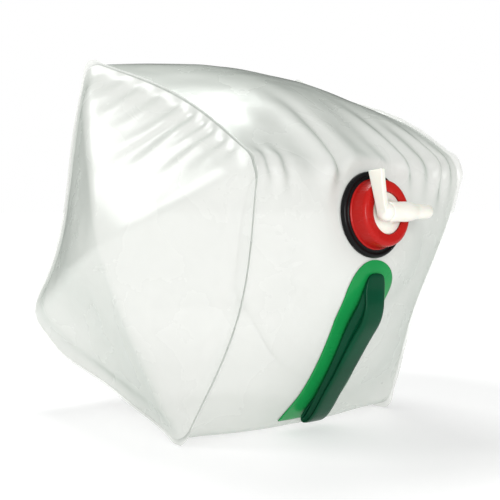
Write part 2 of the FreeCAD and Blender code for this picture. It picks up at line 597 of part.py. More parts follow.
# a channel runs along both sides of the bar
RAIL_OUT = "(Sizes.grip_height - Sizes.channel_rail)"
RAIL_IN = f"({BAR_IN} + Sizes.channel_rail)"
CHANNEL_FLOOR = "(Sizes.grip_width / 2 - Sizes.channel_depth)"
channel_points = [f"({BEND_HIGH} - 2)", f"({BEND_HIGH} * 0.6 + {BEND_LOW} * 0.4)",
                  f"({BEND_HIGH} * 0.3 + {BEND_LOW} * 0.7)", f"({BEND_LOW} + 6)"]
for name, side in (("right", 1), ("left", -1)):
    channel_sketch = new_sketch(grip, f"channel_{name}_outline", "YZ_Plane",
                                f"{side} * {CHANNEL_FLOOR}")
    polygon(channel_sketch, [on_front(place, RAIL_OUT) for place in channel_points]
            + [on_front(place, RAIL_IN) for place in reversed(channel_points)])
    channel = grip.newObject("PartDesign::Pocket", f"channel_{name}")
    channel.Profile = channel_sketch
    channel.setExpression("Length", "Sizes.channel_depth")
    channel.Reversed = side > 0
grip_landed = with_land("grip_seat", grip_seat, f"-{GRIP_FACE}", f"2 * {GRIP_FACE}")
grip_cut = boolean("Cut", "grip_seated", grip, grip_landed)


def on_foot(item, height, out):
    # stand a turned piece on the front's curve, its axis square to the patch
    lean = f"asin(({height}) / ({CURVE} + {GRIP_FACE}))"
    place_y, place_z = on_front(height, "0")
    turn_and_move(item, f"(90 deg - {lean})", f"{place_y} - ({out}) * cos({lean})",
                  f"{place_z} + ({out}) * sin({lean})")


# Studs: a shank through each foot plate and a round head on it.
studs = []
grip_drilled = grip_cut
for name, height in (("upper", f"({TOP} - Sizes.foot_length / 2)"),
                     ("lower", f"({FOOT_LOW} - Sizes.foot_length / 2 + 1)")):
    shank_hole = doc.addObject("Part::Cylinder", f"stud_hole_{name}")
    shank_hole.setExpression("Radius", "Sizes.stud_shank + Sizes.seat_clearance")
    shank_hole.setExpression("Height", "Sizes.foot_thick * 2")
    on_foot(shank_hole, height, "-1")
    grip_drilled = boolean("Cut", f"grip_drilled_{name}", grip_drilled, shank_hole)
    stud = new_body(f"stud_{name}")
    HEAD_TOP = "(Sizes.foot_thick + Sizes.stud_head)"
    revolve(stud, f"stud_{name}_turned", [
        ("0", "0.1"), ("Sizes.stud_shank", "0.1"), ("Sizes.stud_shank", "Sizes.foot_thick + 0.1"),
        ("Sizes.stud_radius", "Sizes.foot_thick + 0.1"),
        ("Sizes.stud_radius", f"{HEAD_TOP} - 0.6"), ("Sizes.stud_radius - 0.8", HEAD_TOP),
        ("0", HEAD_TOP)])
    on_foot(stud, height, "0")
    studs.append(boolean("Cut", f"stud_{name}_seated", stud, grip_landed))
finish_on_bag(grip_drilled, "handle_grip")
stud_pair = doc.addObject("Part::Compound", "stud_pair")
stud_pair.Links = studs
finish_on_bag(stud_pair, "handle_studs")

doc.recompute()
for item in doc.Objects:
    if {"Invalid", "Error"} & set(item.State):
        raise RuntimeError(f"{item.Label} did not build: {item.State}")
for label, item in finished.items():
    shape = item.Shape
    if shape.isNull() or not shape.isValid() or not shape.Solids:
        raise RuntimeError(f"{label} has no valid solid")

os.makedirs("parts", exist_ok=True)
for label, item in finished.items():
    item.Shape.exportStep(f"parts/{label}.step")
    box = item.Shape.optimalBoundingBox(False)
    print(f"{label}: {len(item.Shape.Solids)} solid, {item.Shape.Volume / 1000:.2f} cm3, "
          f"x {box.XMin:.1f}..{box.XMax:.1f} y {box.YMin:.1f}..{box.YMax:.1f} "
          f"z {box.ZMin:.2f}..{box.ZMax:.1f}")
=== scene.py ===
import math
import bmesh
import bpy
from mathutils import Matrix, Vector, noise


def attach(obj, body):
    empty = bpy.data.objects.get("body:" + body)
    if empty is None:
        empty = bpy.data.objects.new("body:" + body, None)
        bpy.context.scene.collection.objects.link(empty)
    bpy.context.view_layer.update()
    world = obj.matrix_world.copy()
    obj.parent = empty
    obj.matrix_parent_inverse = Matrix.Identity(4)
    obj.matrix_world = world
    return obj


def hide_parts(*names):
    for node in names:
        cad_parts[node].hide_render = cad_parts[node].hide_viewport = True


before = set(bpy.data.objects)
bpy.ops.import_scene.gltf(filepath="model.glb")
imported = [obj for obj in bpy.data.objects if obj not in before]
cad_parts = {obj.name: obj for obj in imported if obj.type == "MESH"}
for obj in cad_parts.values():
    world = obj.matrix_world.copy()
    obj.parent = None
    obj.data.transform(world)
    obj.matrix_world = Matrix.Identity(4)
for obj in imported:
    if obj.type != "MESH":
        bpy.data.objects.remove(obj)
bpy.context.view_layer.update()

millimetre = 0.001
scene = bpy.context.scene

# The carrier's own frame, in millimetres: x across, the spout side at -y, z up, with the
# origin at its middle. It is tipped about x and lifted on to the ground. The four sides'
# own values are how far each bulges at its middle.
bag = {
    "halfWidth": 125, "endHalf": 128, "endCorner": 22, "endBulge": 2,
    "midHalf": 131, "midCorner": 14, "finWidth": 4, "tipDegrees": 22.5,
    "front": 28, "top": 22, "back": 24, "bottom": 62, "groundSoft": 2.5,
    "seamInset": 10, "panelBulge": 38, "panelPower": 1.25, "cornerShare": 0.11,
}
# Round the spout the film lies flat on a land, and fades back to its own shape beyond it.
spout = {
    "out": 10, "drop": 43, "tiltDegrees": 28, "landRadius": 37.5, "landGap": 0.5,
    "fadeRadius": 74, "fadeLean": 18, "fadeRise": 40, "depth": 45, "reach": 100,
}
bagTip = math.radians(bag["tipDegrees"])
bagLift = ((bag["endHalf"] - bag["endCorner"]) * (math.sin(bagTip) + math.cos(bagTip))
           + bag["endCorner"] + bag["finWidth"])
bagTurn = Matrix.Rotation(bagTip, 3, "X")
spoutTilt = math.radians(spout["tiltDegrees"])
spoutPoint = Vector((0, -bag["midHalf"] - spout["out"], bag["midHalf"] - spout["drop"]))
spoutAxis = Vector((0, -math.cos(spoutTilt), math.sin(spoutTilt)))


def toWorld(point):
    return (bagTurn @ point + Vector((0, 0, bagLift))) * millimetre


def smoothStep(low, high, amount):
    share = min(1.0, max(0.0, (amount - low) / (high - low)))
    return share * share * (3 - 2 * share)


def sectionPoint(place, half, corner, bulge, cornerRadius):
    # one side of a cushion section: place runs -1 to 1; returns (along, outward)
    reach = half - corner
    flat = 1 - bag["cornerShare"]
    sign = 1 if place >= 0 else -1
    if abs(place) <= flat:
        radius = (reach * reach + bulge * bulge) / (2 * bulge)
        angle = place / flat * math.asin(reach / radius)
        return radius * math.sin(angle), half + bulge - radius * (1 - math.cos(angle))
    share = (abs(place) - flat) / bag["cornerShare"] * 0.5
    total = half + reach
    squares = half * half + reach * reach - cornerRadius * cornerRadius
    inner = (total - math.sqrt(total * total - 2 * squares)) / 2
    first = math.atan2(reach - inner, half - inner)
    angle = first + (math.pi / 2 - 2 * first) * share
    return sign * (inner + cornerRadius * math.sin(angle)), inner + cornerRadius * math.cos(angle)


def endSection(place):
    return sectionPoint(place, bag["endHalf"], bag["endCorner"], bag["endBulge"],
                        bag["endCorner"])


def spread(side, along, out):
    # a point of one side of the section, as (y, z)
    return {"front": (-out, along), "back": (out, along),
            "top": (along, out), "bottom": (along, -out)}[side]


def panelX(distance, place):
    # how far out an end panel stands, at this share of the way from its peak
    drawn = bag["seamInset"] * (1 - place * place) * distance * distance
    bulge = bag["panelBulge"] * (1 - distance ** bag["panelPower"])
    return bag["halfWidth"] + bulge - drawn


def wrapSection(side, place, x):
    endAlong, endOut = endSection(place)
    midAlong, midOut = sectionPoint(place, bag["midHalf"], bag["midCorner"], bag[side],
                                    2 * bag["midCorner"])
    middle = 1 - (x / bag["halfWidth"]) ** 2
    return endAlong + (midAlong - endAlong) * middle, endOut + (midOut - endOut) * middle


seams = {}
seamTries = 8


def seamAt(side, place):
    # where the wrap meets an end panel: (x, along, outward, share of the way out)
    key = (side, round(place, 6))
    if key not in seams:
        x = bag["halfWidth"] - bag["seamInset"]
        for _ in range(seamTries):
            share = wrapSection(side, place, x)[1] / endSection(place)[1]
            x = 0.5 * (x + panelX(share, place))
        seams[key] = (x, *wrapSection(side, place, x), share)
    return seams[key]


# Where the film stands off the plain cushion: centre, reach and push, in millimetres.
pushes = [
    ((118, -50, 134), 75, (1, 0, 9)), ((125, -128, 128), 34, (-10, 0, 1)),
    ((-20, 128, 135), 120, (0, 1, 4.5)), ((85, 125, 132), 70, (0, 0, 4)),
    ((118, -132, -10), 62, (-8, 0, 0)), ((-118, 130, 55), 80, (-8, 0, 0)),
    ((-112, 78, -142), 55, (-9, 3, -13)), ((-125, 128, -128), 40, (-6, 0, 0)),
    ((-60, -128, 128), 45, (0, 1, -2)),
]
pushFade = 1.4
pushEnd = 6  # in squared reaches


def pushed(point):
    moved = point.copy()
    for centre, reach, push in pushes:
        gap = (point - Vector(centre)).length_squared / (reach * reach)
        if gap < pushEnd:
            moved += Vector(push) * math.exp(-gap * pushFade)
    return moved


def seatOnSpout(point):
    # the film is drawn flat under the spout's flange
    offset = point - spoutPoint
    height = offset.dot(spoutAxis)
    flat = offset - spoutAxis * height
    distance = flat.length
    if height < -spout["depth"] or distance > spout["reach"]:
        return point
    lean = max(-1.0, min(1.0, flat.z / spout["fadeRise"]))
    reach = spout["fadeRadius"] - spout["fadeLean"] * lean
    weight = 1 - smoothStep(spout["landRadius"], reach, distance)
    return point + spoutAxis * (-spout["landGap"] - height) * weight


def settle(world):
    # the slack of the bottom lies flat on the ground
    soft = bag["groundSoft"] * millimetre
    world.z = 0.5 * (world.z + math.sqrt(world.z * world.z + soft * soft))
    return world


# Gathers of the left panel under its top seam: place along the seam, length, width and
# depth. They all lean the same way, widen as they run down and have a low ridge each side.
gathers = [(0.62, 0.17, 0.048, 1.8), (0.44, 0.22, 0.043, 2.2), (0.23, 0.26, 0.048, 2.2),
           (0.02, 0.22, 0.043, 1.8), (-0.17, 0.42, 0.048, 3.2), (-0.33, 0.24, 0.038, 2.4),
           (-0.44, 0.32, 0.038, 2.8), (-0.60, 0.20, 0.038, 2.4), (-0.74, 0.14, 0.034, 1.8)]
gather = {
    "lean": -0.68, "seamHeight": 130, "span": 128, "width": 0.8, "widening": 0.8,
    "ridge": 0.5, "ridgePlace": 1.7, "end": 3.5, "seamFade": 0.04,
}

# Folds over the front's top edge: place across, height (a valley is negative), width,
# reach up the top and reach down the front.
edgeFolds = [(-0.93, 1.8, 0.030, 0.14, 0.12), (-0.87, -2.4, 0.026, 0.16, 0.14),
             (-0.80, 2.0, 0.034, 0.18, 0.16), (-0.72, -1.8, 0.034, 0.20, 0.16),
             (-0.52, -1.4, 0.070, 0.40, 0.14), (-0.37, 4.6, 0.058, 0.50, 0.26),
             (-0.255, -5.4, 0.040, 0.60, 0.34), (-0.13, 2.2, 0.060, 0.46, 0.16),
             (0.05, -1.6, 0.060, 0.40, 0.12), (0.20, -2.4, 0.050, 0.50, 0.14),
             (0.33, 4.4, 0.050, 0.50, 0.18), (0.425, -4.4, 0.040, 0.50, 0.22),
             (0.52, 2.0, 0.045, 0.36, 0.16), (0.61, -2.4, 0.040, 0.40, 0.18),
             (0.70, 5.2, 0.046, 0.40, 0.22), (0.785, -5.0, 0.036, 0.36, 0.24),
             (0.87, 2.6, 0.036, 0.20, 0.18), (0.935, -2.0, 0.026, 0.18, 0.16)]
fold = {"drift": 0.02, "widening": 0.8, "end": 3.2}


def gatherHeight(y, z, ring):
    total = 0
    drop = gather["seamHeight"] - z
    below = max(0.0, drop / gather["span"])
    foot = (y + gather["lean"] * drop) / gather["span"]
    for place, length, width, depth in gathers:
        spreadOut = gather["width"] + gather["widening"] * below / length
        across = (foot - place) / (width * spreadOut)
        if abs(across) < gather["end"]:
            fade = math.exp(-(below / length) ** 2) * smoothStep(0.0, gather["seamFade"], 1 - ring)
            ridge = gather["ridge"] * math.exp(-(abs(across) - gather["ridgePlace"]) ** 2)
            total -= depth * fade * (math.exp(-across * across) - ridge)
    return total


def foldHeight(across, away, up):
    total = 0
    drift = -fold["drift"] if up else fold["drift"]
    for place, height, width, reachUp, reachDown in edgeFolds:
        reach = reachUp if up else reachDown
        widened = width * (1 + fold["widening"] * away / reach)
        offset = (across - place - drift * away) / widened
        if abs(offset) < fold["end"]:
            total += height * math.exp(-(away / reach) ** 2 - offset * offset)
    return total


sides = {"front": Vector((0, -1, 0)), "back": Vector((0, 1, 0)),
         "top": Vector((0, 0, 1)), "bottom": Vector((0, 0, -1))}

# Unevenness of the slack film, as (size, height) pairs, and how close to a seam it holds on.
slack = {
    "wrapRipples": ((75, 2.0), (28, 0.5)), "wrapHold": 10, "edgeTurn": 0.35,
    "endRipples": ((65, 1.8), (24, 0.4)), "endHold": 12, "endBlend": 0.85,
}
edgeOutward = Vector((0, -0.7, 0.7))


def rippleHeight(point, ripples):
    return sum(noise.noise(point / size) * height for size, height in ripples)


def filmPoint(side, place, across):
    # a finished point of the wrap, in the carrier's own millimetres
    x = across * seamAt(side, place)[0]
    along, out = wrapSection(side, place, x)
    point = pushed(Vector((x, *spread(side, along, out))))
    outward = sides[side].copy()
    inside = 1 - abs(across) ** slack["wrapHold"]
    height = rippleHeight(point, slack["wrapRipples"])
    if side in ("front", "top"):
        away = (1 - place) if side == "front" else (1 + place)
        height += foldHeight(across, away, side == "top")
        outward = outward.lerp(edgeOutward, smoothStep(slack["edgeTurn"], 0.0, away))
    return seatOnSpout(point + outward * height * inside)


def endPoint(side, place, ring, sign):
    # a finished point of an end panel: ring runs from 0 at its middle to 1 at its seam
    x, along, out, share = seamAt(side, place)
    y, z = spread(side, along * ring, out * ring)
    blend = smoothStep(slack["endBlend"], 1.0, ring)
    level = panelX(share * ring, place) * (1 - blend) + x * blend
    point = pushed(Vector((sign * level, y, z)))
    inside = 1 - ring ** slack["endHold"]
    height = rippleHeight(point, slack["endRipples"])
    if side == "top" and sign < 0:
        height += gatherHeight(y, z, ring)
    point.x += sign * height * inside
    return point


def meshFrom(bm, name, smooth=True):
    mesh = bpy.data.meshes.new(name)
    bm.to_mesh(mesh)
    bm.free()
    mesh.polygons.foreach_set("use_smooth", [smooth] * len(mesh.polygons))
    mesh.update()
    return mesh


def newPiece(name, bm, body, replaced):
    piece = bpy.data.objects.new(name, meshFrom(bm, name))
    scene.collection.objects.link(piece)
    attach(piece, body)
    if replaced:
        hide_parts(*replaced)
    return piece


def addWall(piece, thickness):
    wall = piece.modifiers.new("wall", "SOLIDIFY")
    wall.thickness = thickness
    wall.offset = 1
    wall.use_even_offset = True


def addRounding(piece, width, segments=2, angle=0.6):
    rounding = piece.modifiers.new("rounding", "BEVEL")
    rounding.width = width
    rounding.segments = segments
    rounding.limit_method = "ANGLE"
    rounding.angle_limit = angle


def addSmoothing(piece, levels):
    smoothing = piece.modifiers.new("smoothing", "SUBSURF")
    smoothing.levels = levels
    smoothing.render_levels = levels


tiny = 1e-9


def sideOf(y, z):
    # which of the four sides a point of a square lies towards, and its place along that side
    if abs(y) >= abs(z):
        return ("front" if y < 0 else "back"), z / max(abs(y), tiny)
    return ("top" if z > 0 else "bottom"), y / abs(z)


# The film's mesh, and the welded fin that stands out round both ends in millimetres.
film = {
    "cells": 118, "fin": 3.0, "finTip": 3.2, "finLean": 0.25,
    "tipStart": 0.86, "crinkleScale": 90, "crinkle": 0.8, "crinkleOut": 0.4,
    "crinkleAcross": 0.5, "crinkleTip": 1.5, "groundGap": 0.4, "endSmoothing": 0.5,
}


def buildWrap():
    bm = bmesh.new()
    bmesh.ops.create_cube(bm, size=2)
    ends = [face for face in bm.faces if abs(face.normal.x) > 0.5]
    bmesh.ops.delete(bm, geom=ends, context="FACES_ONLY")
    bmesh.ops.subdivide_edges(bm, edges=bm.edges[:], cuts=film["cells"], use_grid_fill=True)
    tips = {}
    for vert in bm.verts:
        across = max(-1.0, min(1.0, vert.co.x))
        side, place = sideOf(vert.co.y, vert.co.z)
        tips[vert] = smoothStep(film["tipStart"], 1.0, abs(place))
        vert.co = settle(toWorld(filmPoint(side, place, across)))
    bmesh.ops.recalc_face_normals(bm, faces=bm.faces[:])
    centre = Vector((0, 0, bagLift * millimetre))
    rim = [edge for edge in bm.edges if edge.is_boundary]
    rimTips = {tuple(vert.co): tips[vert] for edge in rim for vert in edge.verts}
    grown = bmesh.ops.extrude_edge_only(bm, edges=rim)["geom"]
    for item in grown:
        if isinstance(item, bmesh.types.BMVert):
            tip = rimTips.get(tuple(item.co), 0)
            away = item.co - centre
            away.x *= film["finLean"]
            crinkle = noise.noise(item.co * film["crinkleScale"]) * film["crinkle"]
            reach = film["fin"] + film["finTip"] * tip + crinkle * (film["crinkleOut"] + tip)
            item.co += away.normalized() * reach * millimetre
            across = film["crinkleAcross"] + film["crinkleTip"] * tip
            item.co.x += crinkle * millimetre * across
            item.co.z = max(item.co.z, film["groundGap"] * millimetre)
    return newPiece("wrapFilm", bm, "bag", ("wrap_panel",))


def buildEnd(name, node, sign):
    bm = bmesh.new()
    cells = film["cells"] + 1
    bmesh.ops.create_grid(bm, x_segments=cells, y_segments=cells, size=1)
    for vert in bm.verts:
        y, z = vert.co.x, vert.co.y
        side, place = sideOf(y, z)
        vert.co = settle(toWorld(endPoint(side, place, max(abs(y), abs(z)), sign)))
    inner = [vert for vert in bm.verts if not vert.is_boundary]
    bmesh.ops.smooth_vert(bm, verts=inner, factor=film["endSmoothing"],
                          use_axis_x=True, use_axis_y=True, use_axis_z=True)
    bmesh.ops.recalc_face_normals(bm, faces=bm.faces[:])
    if sum(face.normal.x * face.calc_area() for face in bm.faces) * sign < 0:
        bmesh.ops.reverse_faces(bm, faces=bm.faces[:])
    return newPiece(name, bm, "bag", (node,))


print("film body")
wrapFilm = buildWrap()
leftFilm = buildEnd("leftFilm", "left_end_panel", -1)
rightFilm = buildEnd("rightFilm", "right_end_panel", 1)

placeTries = 18
slopeStep = 0.02  # how far apart the film's slope is read
slopeEnd = 0.99


def frontPlace(x, height):
    # the place round the front at which the film has this height
    low, high = -1.0, 1.0
    for _ in range(placeTries):
        middle = 0.5 * (low + high)
        if wrapSection("front", middle, x)[0] < height:
            low = middle
        else:
            high = middle
    return 0.5 * (low + high)


def onFront(x, height, lift):
    # a point of the front film at this height, lifted off it
    place = frontPlace(x, height)
    across = x / seamAt("front", place)[0]
    point = filmPoint("front", place, across)
    right = filmPoint("front", place, across + slopeStep)
    above = filmPoint("front", min(slopeEnd, place + slopeStep), across)
    normal = (right - point).cross(above - point).normalized()
    if normal.y > 0:
        normal.negate()
    return point + normal * lift


patchSize = {
    "cells": ((110, 36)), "half": 26.5, "top": 52, "bottom": -111,
    "archShare": 0.28, "archDegrees": 86, "flare": 3.0, "flareTop": -55, "flareFoot": -115,
    "lift": 0.5, "thick": 0.8,
}


def buildPatch():
    bm = bmesh.new()
    rows, columns = patchSize["cells"]
    bmesh.ops.create_grid(bm, x_segments=columns, y_segments=rows, size=1)
    half = patchSize["half"]
    spring = patchSize["top"] - half
    straight = spring - patchSize["bottom"]
    archShare = patchSize["archShare"]
    for vert in bm.verts:
        u, v = vert.co.x, (vert.co.y + 1) / 2
        if v > 1 - archShare:
            angle = (v - 1 + archShare) / archShare * math.radians(patchSize["archDegrees"])
            reach, height = half * math.cos(angle), spring + half * math.sin(angle)
        else:
            height = patchSize["bottom"] + straight * v / (1 - archShare)
            flare = smoothStep(patchSize["flareTop"], patchSize["flareFoot"], height)
            reach = half + patchSize["flare"] * flare
        vert.co = settle(toWorld(onFront(u * reach, height, patchSize["lift"])))
    bmesh.ops.recalc_face_normals(bm, faces=bm.faces[:])
    if sum(face.normal.y * face.calc_area() for face in bm.faces) > 0:
        bmesh.ops.reverse_faces(bm, faces=bm.faces[:])
    patch = newPiece("handlePatch", bm, "bag", ("handle_patch",))
    addWall(patch, patchSize["thick"] * millimetre)
    return patch


# The grip's line: height on the front, rise of its middle above the patch, and half its
# thickness and width there.
gripLine = [
    (41, 1.5, 1.2, 5), (38, 1.9, 1.5, 9.6), (31, 2.6, 2.0, 11.2), (26, 4.0, 3.2, 11.8),
    (21, 6.2, 4.8, 12.2), (16, 8.2, 6.6, 12.4), (10, 9.4, 8.0, 12.5), (3, 9.4, 8.4, 12.5),
    (-8, 8.6, 7.8, 12.5), (-22, 7.4, 6.8, 12.4), (-38, 6.8, 5.8, 12.2),
    (-54, 6.8, 5.2, 12.0), (-70, 7.0, 4.9, 12.0), (-84, 7.8, 4.7, 12.0),
    (-94, 8.4, 4.2, 12.0), (-101, 8.2, 3.4, 11.6), (-105, 6.0, 2.8, 11.0),
    (-104, 3.4, 2.0, 10.6), (-98, 2.0, 1.6, 10.2), (-90, 1.9, 1.5, 9.6), (-82, 1.8, 1.3, 8.4),
    (-79, 1.6, 1.0, 5.0),
]
# The shift is sideways, between these heights at the foot and at the top.
gripSize = {
    "sides": 28, "gap": 0.3, "widePower": 0.42, "thickPower": 0.5, "shift": -3.0,
    "shiftFoot": (-105, -60), "shiftTop": (38, 12),
    "recess": 4.6, "recessWidth": 0.5, "recessPower": 3, "recessRows": range(4, 16),
}


def gripRing(bm, centre, tangent, halfThick, halfWide, depth):
    # one rounded section with a shallow recess along both of its sides
    made = bmesh.ops.create_circle(bm, segments=gripSize["sides"], radius=1)["verts"]
    out = tangent.cross(Vector((1, 0, 0))).normalized()
    for vert in made:
        wide, thick = vert.co.x, vert.co.y
        wide = math.copysign(abs(wide) ** gripSize["widePower"], wide)
        thick = math.copysign(abs(thick) ** gripSize["thickPower"], thick)
        hollow = (depth * math.exp(-(thick / gripSize["recessWidth"]) ** 2)
                  * abs(wide) ** gripSize["recessPower"])
        wide = math.copysign(abs(wide) * halfWide - hollow, wide)
        vert.co = centre + Vector((wide, 0, 0)) + out * thick * halfThick
    return made


def buildGrip():
    patchFace = patchSize["lift"] + patchSize["thick"] + gripSize["gap"]
    points = [onFront(0, height, patchFace + rise) for height, rise, _, _ in gripLine]
    for point, (height, *_) in zip(points, gripLine):
        point.x += (gripSize["shift"] * smoothStep(*gripSize["shiftFoot"], height)
                    * smoothStep(*gripSize["shiftTop"], height))
    bm = bmesh.new()
    loops = []
    for index, (centre, row) in enumerate(zip(points, gripLine)):
        before, after = points[max(0, index - 1)], points[min(len(points) - 1, index + 1)]
        recess = gripSize["recess"] if index in gripSize["recessRows"] else 0.0
        ring = gripRing(bm, centre, (after - before).normalized(), row[2], row[3], recess)
        loops.append([edge for edge in bm.edges if all(vert in ring for vert in edge.verts)])
    for lower, upper in zip(loops, loops[1:]):
        bmesh.ops.bridge_loops(bm, edges=lower + upper)
    for loop in (loops[0], loops[-1]):
        bmesh.ops.contextual_create(bm, geom=loop)
    bmesh.ops.recalc_face_normals(bm, faces=bm.faces[:])
    for vert in bm.verts:
        vert.co = toWorld(vert.co)
    grip = newPiece("handleGrip", bm, "bag", ("handle_grip",))
    addSmoothing(grip, 2)
    return grip


print("handle")
handlePatch = buildPatch()
handleGrip = buildGrip()

spoutLean = Vector((0, 0, 1)).rotation_difference(spoutAxis).to_matrix().to_4x4()
spoutFrame = Matrix.Translation(toWorld(spoutPoint)) @ (bagTurn.to_4x4() @ spoutLean)
hubOut = 28.3  # how far out of the film the tap's cross tube lies
tapFrame = spoutFrame @ Matrix.Translation((0, 0, hubOut * millimetre))
mergeDistance = 1e-4


def turned(name, rows, body, replaced, steps=72, rounding=0.5, onTube=False):
    # spin an outline of (radius, distance along) rows about the spout's or the tube's axis
    bm = bmesh.new()
    first = bmesh.ops.create_vert(bm, co=(rows[0][0], 0, rows[0][1]))["vert"][0]
    previous, edges = first, []
    for radius, distance in rows[1:]:
        vert = bmesh.ops.create_vert(bm, co=(radius, 0, distance))["vert"][0]
        edges.append(bm.edges.new((previous, vert)))
        previous = vert
    if rows[0][0] > 0 or rows[-1][0] > 0:
        edges.append(bm.edges.new((previous, first)))
    bmesh.ops.spin(bm, geom=bm.verts[:] + edges, cent=(0, 0, 0), axis=(0, 0, 1),
                   angle=math.tau, steps=steps, use_merge=True)
    bmesh.ops.remove_doubles(bm, verts=bm.verts[:], dist=mergeDistance)
    bmesh.ops.recalc_face_normals(bm, faces=bm.faces[:])
    place = spoutFrame
    if onTube:
        place = tapFrame @ Matrix.Rotation(math.radians(90), 4, "Y")
    for vert in bm.verts:
        vert.co = place @ (vert.co * millimetre)
    piece = newPiece(name, bm, body, replaced)
    addRounding(piece, rounding * millimetre)
    return piece


print("spout and tap")
neckFlange = turned("neckFlange", [
    (15.5, -10), (19, -10), (19, 0), (36, 0), (36, 2.6), (35.2, 3.9), (34.2, 4.4), (33, 4.4),
    (32.3, 3.4), (31.2, 3.2), (30.8, 3.9), (29.9, 4.2), (22, 4.2), (22, 13), (15.5, 13)],
    "bag", ("neck_fitting",), rounding=0.3)

# The ring's ribs fade out at the foot and the top of its skirt.
ribs = {"count": 60, "depth": 0.22, "radius": 27, "foot": (5.2, 6), "top": (17, 15)}


def buildRing():
    # a ring cap with fine ribs round its skirt
    ring = turned("screwRing", [
        (22.35, 3.4), (29.5, 3.4), (29.5, 4.9), (28.6, 5.4), (27.9, 11.2), (27.5, 16.2),
        (26.9, 17.9), (25.4, 19.1), (23.6, 19.3), (17.6, 19.3), (17.6, 16.35),
        (22.35, 16.35)], "ring", ("screw_ring",), steps=180, rounding=0.35)
    inverse = spoutFrame.inverted()
    for vert in ring.data.vertices:
        local = inverse @ vert.co
        radius = math.hypot(local.x, local.y)
        height = local.z / millimetre
        if ribs["foot"][0] < height < ribs["top"][0] and radius > ribs["radius"] * millimetre:
            wave = math.cos(math.atan2(local.y, local.x) * ribs["count"])
            push = (ribs["depth"] * wave * smoothStep(*ribs["foot"], height)
                    * smoothStep(*ribs["top"], height))
            outward = spoutFrame.to_3x3() @ Vector((local.x, local.y, 0)).normalized()
            vert.co += outward * push * millimetre
    return ring


screwRing = buildRing()

tapBoss = turned("tapBoss", [
    (0, 14.3), (20.8, 14.3), (20.8, 16.3), (17.2, 16.3), (17.2, 17.6), (13, 17.8),
    (9.2, 20.5), (7.2, 24.5), (0, 25)], "tap", (), rounding=0.4)
tapTube = turned("tapTube", [
    (6.25, -11), (7.4, -11), (8.2, -10.4), (8.4, -8.8), (8.2, 6), (8.3, 8), (8.3, 11), (8.1, 13),
    (7.6, 17.5), (7.0, 19.6), (6.6, 21), (6.45, 24), (6.1, 36), (5.4, 39.0), (4.9, 40),
    (4.0, 40), (4.0, 12), (6.25, 12)], "tap", ("tap_body",),
    onTube=True)
plugHub = turned("plugHub", [
    (0, -19), (3.2, -18.9), (5.2, -18.1), (6.6, -16.6), (7.4, -14.6), (7.7, -12.8),
    (7.7, -11.3), (6.15, -11.2), (6.15, 11.6), (4.2, 11.6), (4.2, -8), (0, -8)],
    "plug", (), onTube=True)

# The lever's plate; its place and lean are along the tube's axis.
thumbPlate = {
    "cuts": 5, "root": 3.4, "tip": 11, "tipPower": 0.9, "front": 3.6, "foot": 1, "reach": 34.5,
    "flare": 3.2, "flareFront": 0.6, "flareBack": 0.4, "flarePower": 4,
    "thick": 2.5, "thinning": 0.35, "place": -16.4, "lean": 0.6,
    "rounding": 1.1, "segments": 3, "angle": 0.9,
}


def buildLever():
    # a flat thumb plate, widening backward towards its tip and flared at its root
    plate = thumbPlate
    bm = bmesh.new()
    bmesh.ops.create_cube(bm, size=2)
    bmesh.ops.subdivide_edges(bm, edges=bm.edges[:], cuts=plate["cuts"], use_grid_fill=True)
    for vert in bm.verts:
        x, y, z = vert.co
        share = (y + 1) / 2
        back = plate["root"] + (plate["tip"] - plate["root"]) * share ** plate["tipPower"]
        flare = plate["flare"] * (1 - share) ** plate["flarePower"]
        front = plate["front"] + flare * plate["flareFront"]
        across = front if z > 0 else back + flare * plate["flareBack"]
        thick = plate["thick"] - plate["thinning"] * share
        vert.co = Vector((plate["place"] + x * thick - plate["lean"] * share,
                          -plate["foot"] + (plate["reach"] + plate["foot"]) * share, z * across))
    for vert in bm.verts:
        vert.co = tapFrame @ (vert.co * millimetre)
    lever = newPiece("tapLever", bm, "plug", ("tap_plug",))
    addRounding(lever, plate["rounding"] * millimetre, plate["segments"], plate["angle"])
    return lever


tapLever = buildLever()


def shaderGroup(name, sockets):
    # a group with Object coordinates inside; sockets are (name, kind, default)
    group = bpy.data.node_groups.new(name, "ShaderNodeTree")
    for label, kind, default in sockets:
        socket = group.interface.new_socket(label, in_out="INPUT", socket_type=kind)
        socket.default_value = default
    group.interface.new_socket("Color", in_out="OUTPUT", socket_type="NodeSocketColor")
    group.interface.new_socket("Roughness", in_out="OUTPUT", socket_type="NodeSocketFloat")
    group.interface.new_socket("Normal", in_out="OUTPUT", socket_type="NodeSocketVector")
    return group


def groupNoise(group, scale, detail, distortion=0.0):
    coordinates = group.nodes.new("ShaderNodeTexCoord")
    texture = group.nodes.new("ShaderNodeTexNoise")
    texture.inputs["Scale"].default_value = scale
    texture.inputs["Detail"].default_value = detail
    texture.inputs["Distortion"].default_value = distortion
    group.links.new(coordinates.outputs["Object"], texture.inputs["Vector"])
    return texture.outputs["Fac"]


def mapRange(tree, source, limits):
    # limits are the source's low and high, then the result's
    node = tree.nodes.new("ShaderNodeMapRange")
    for socket, amount in zip(node.inputs[1:5], limits):
        socket.default_value = amount
    tree.links.new(source, node.inputs[0])
    return node.outputs[0]


def mathNode(tree, operation, *sources):
    node = tree.nodes.new("ShaderNodeMath")
    node.operation = operation
    for source, socket in zip(sources, node.inputs):
        tree.links.new(source, socket)
    return node


def groupBump(group, height, strength, distance, below=None):
    bump = group.nodes.new("ShaderNodeBump")
    bump.inputs["Strength"].default_value = strength
    bump.inputs["Distance"].default_value = distance
    group.links.new(height, bump.inputs["Height"])
    if below:
        group.links.new(below, bump.inputs["Normal"])
    return bump.outputs["Normal"]


mixSockets = {"FLOAT": (2, 3, 0), "RGBA": (6, 7, 2)}  # a Mix node's first, second and result


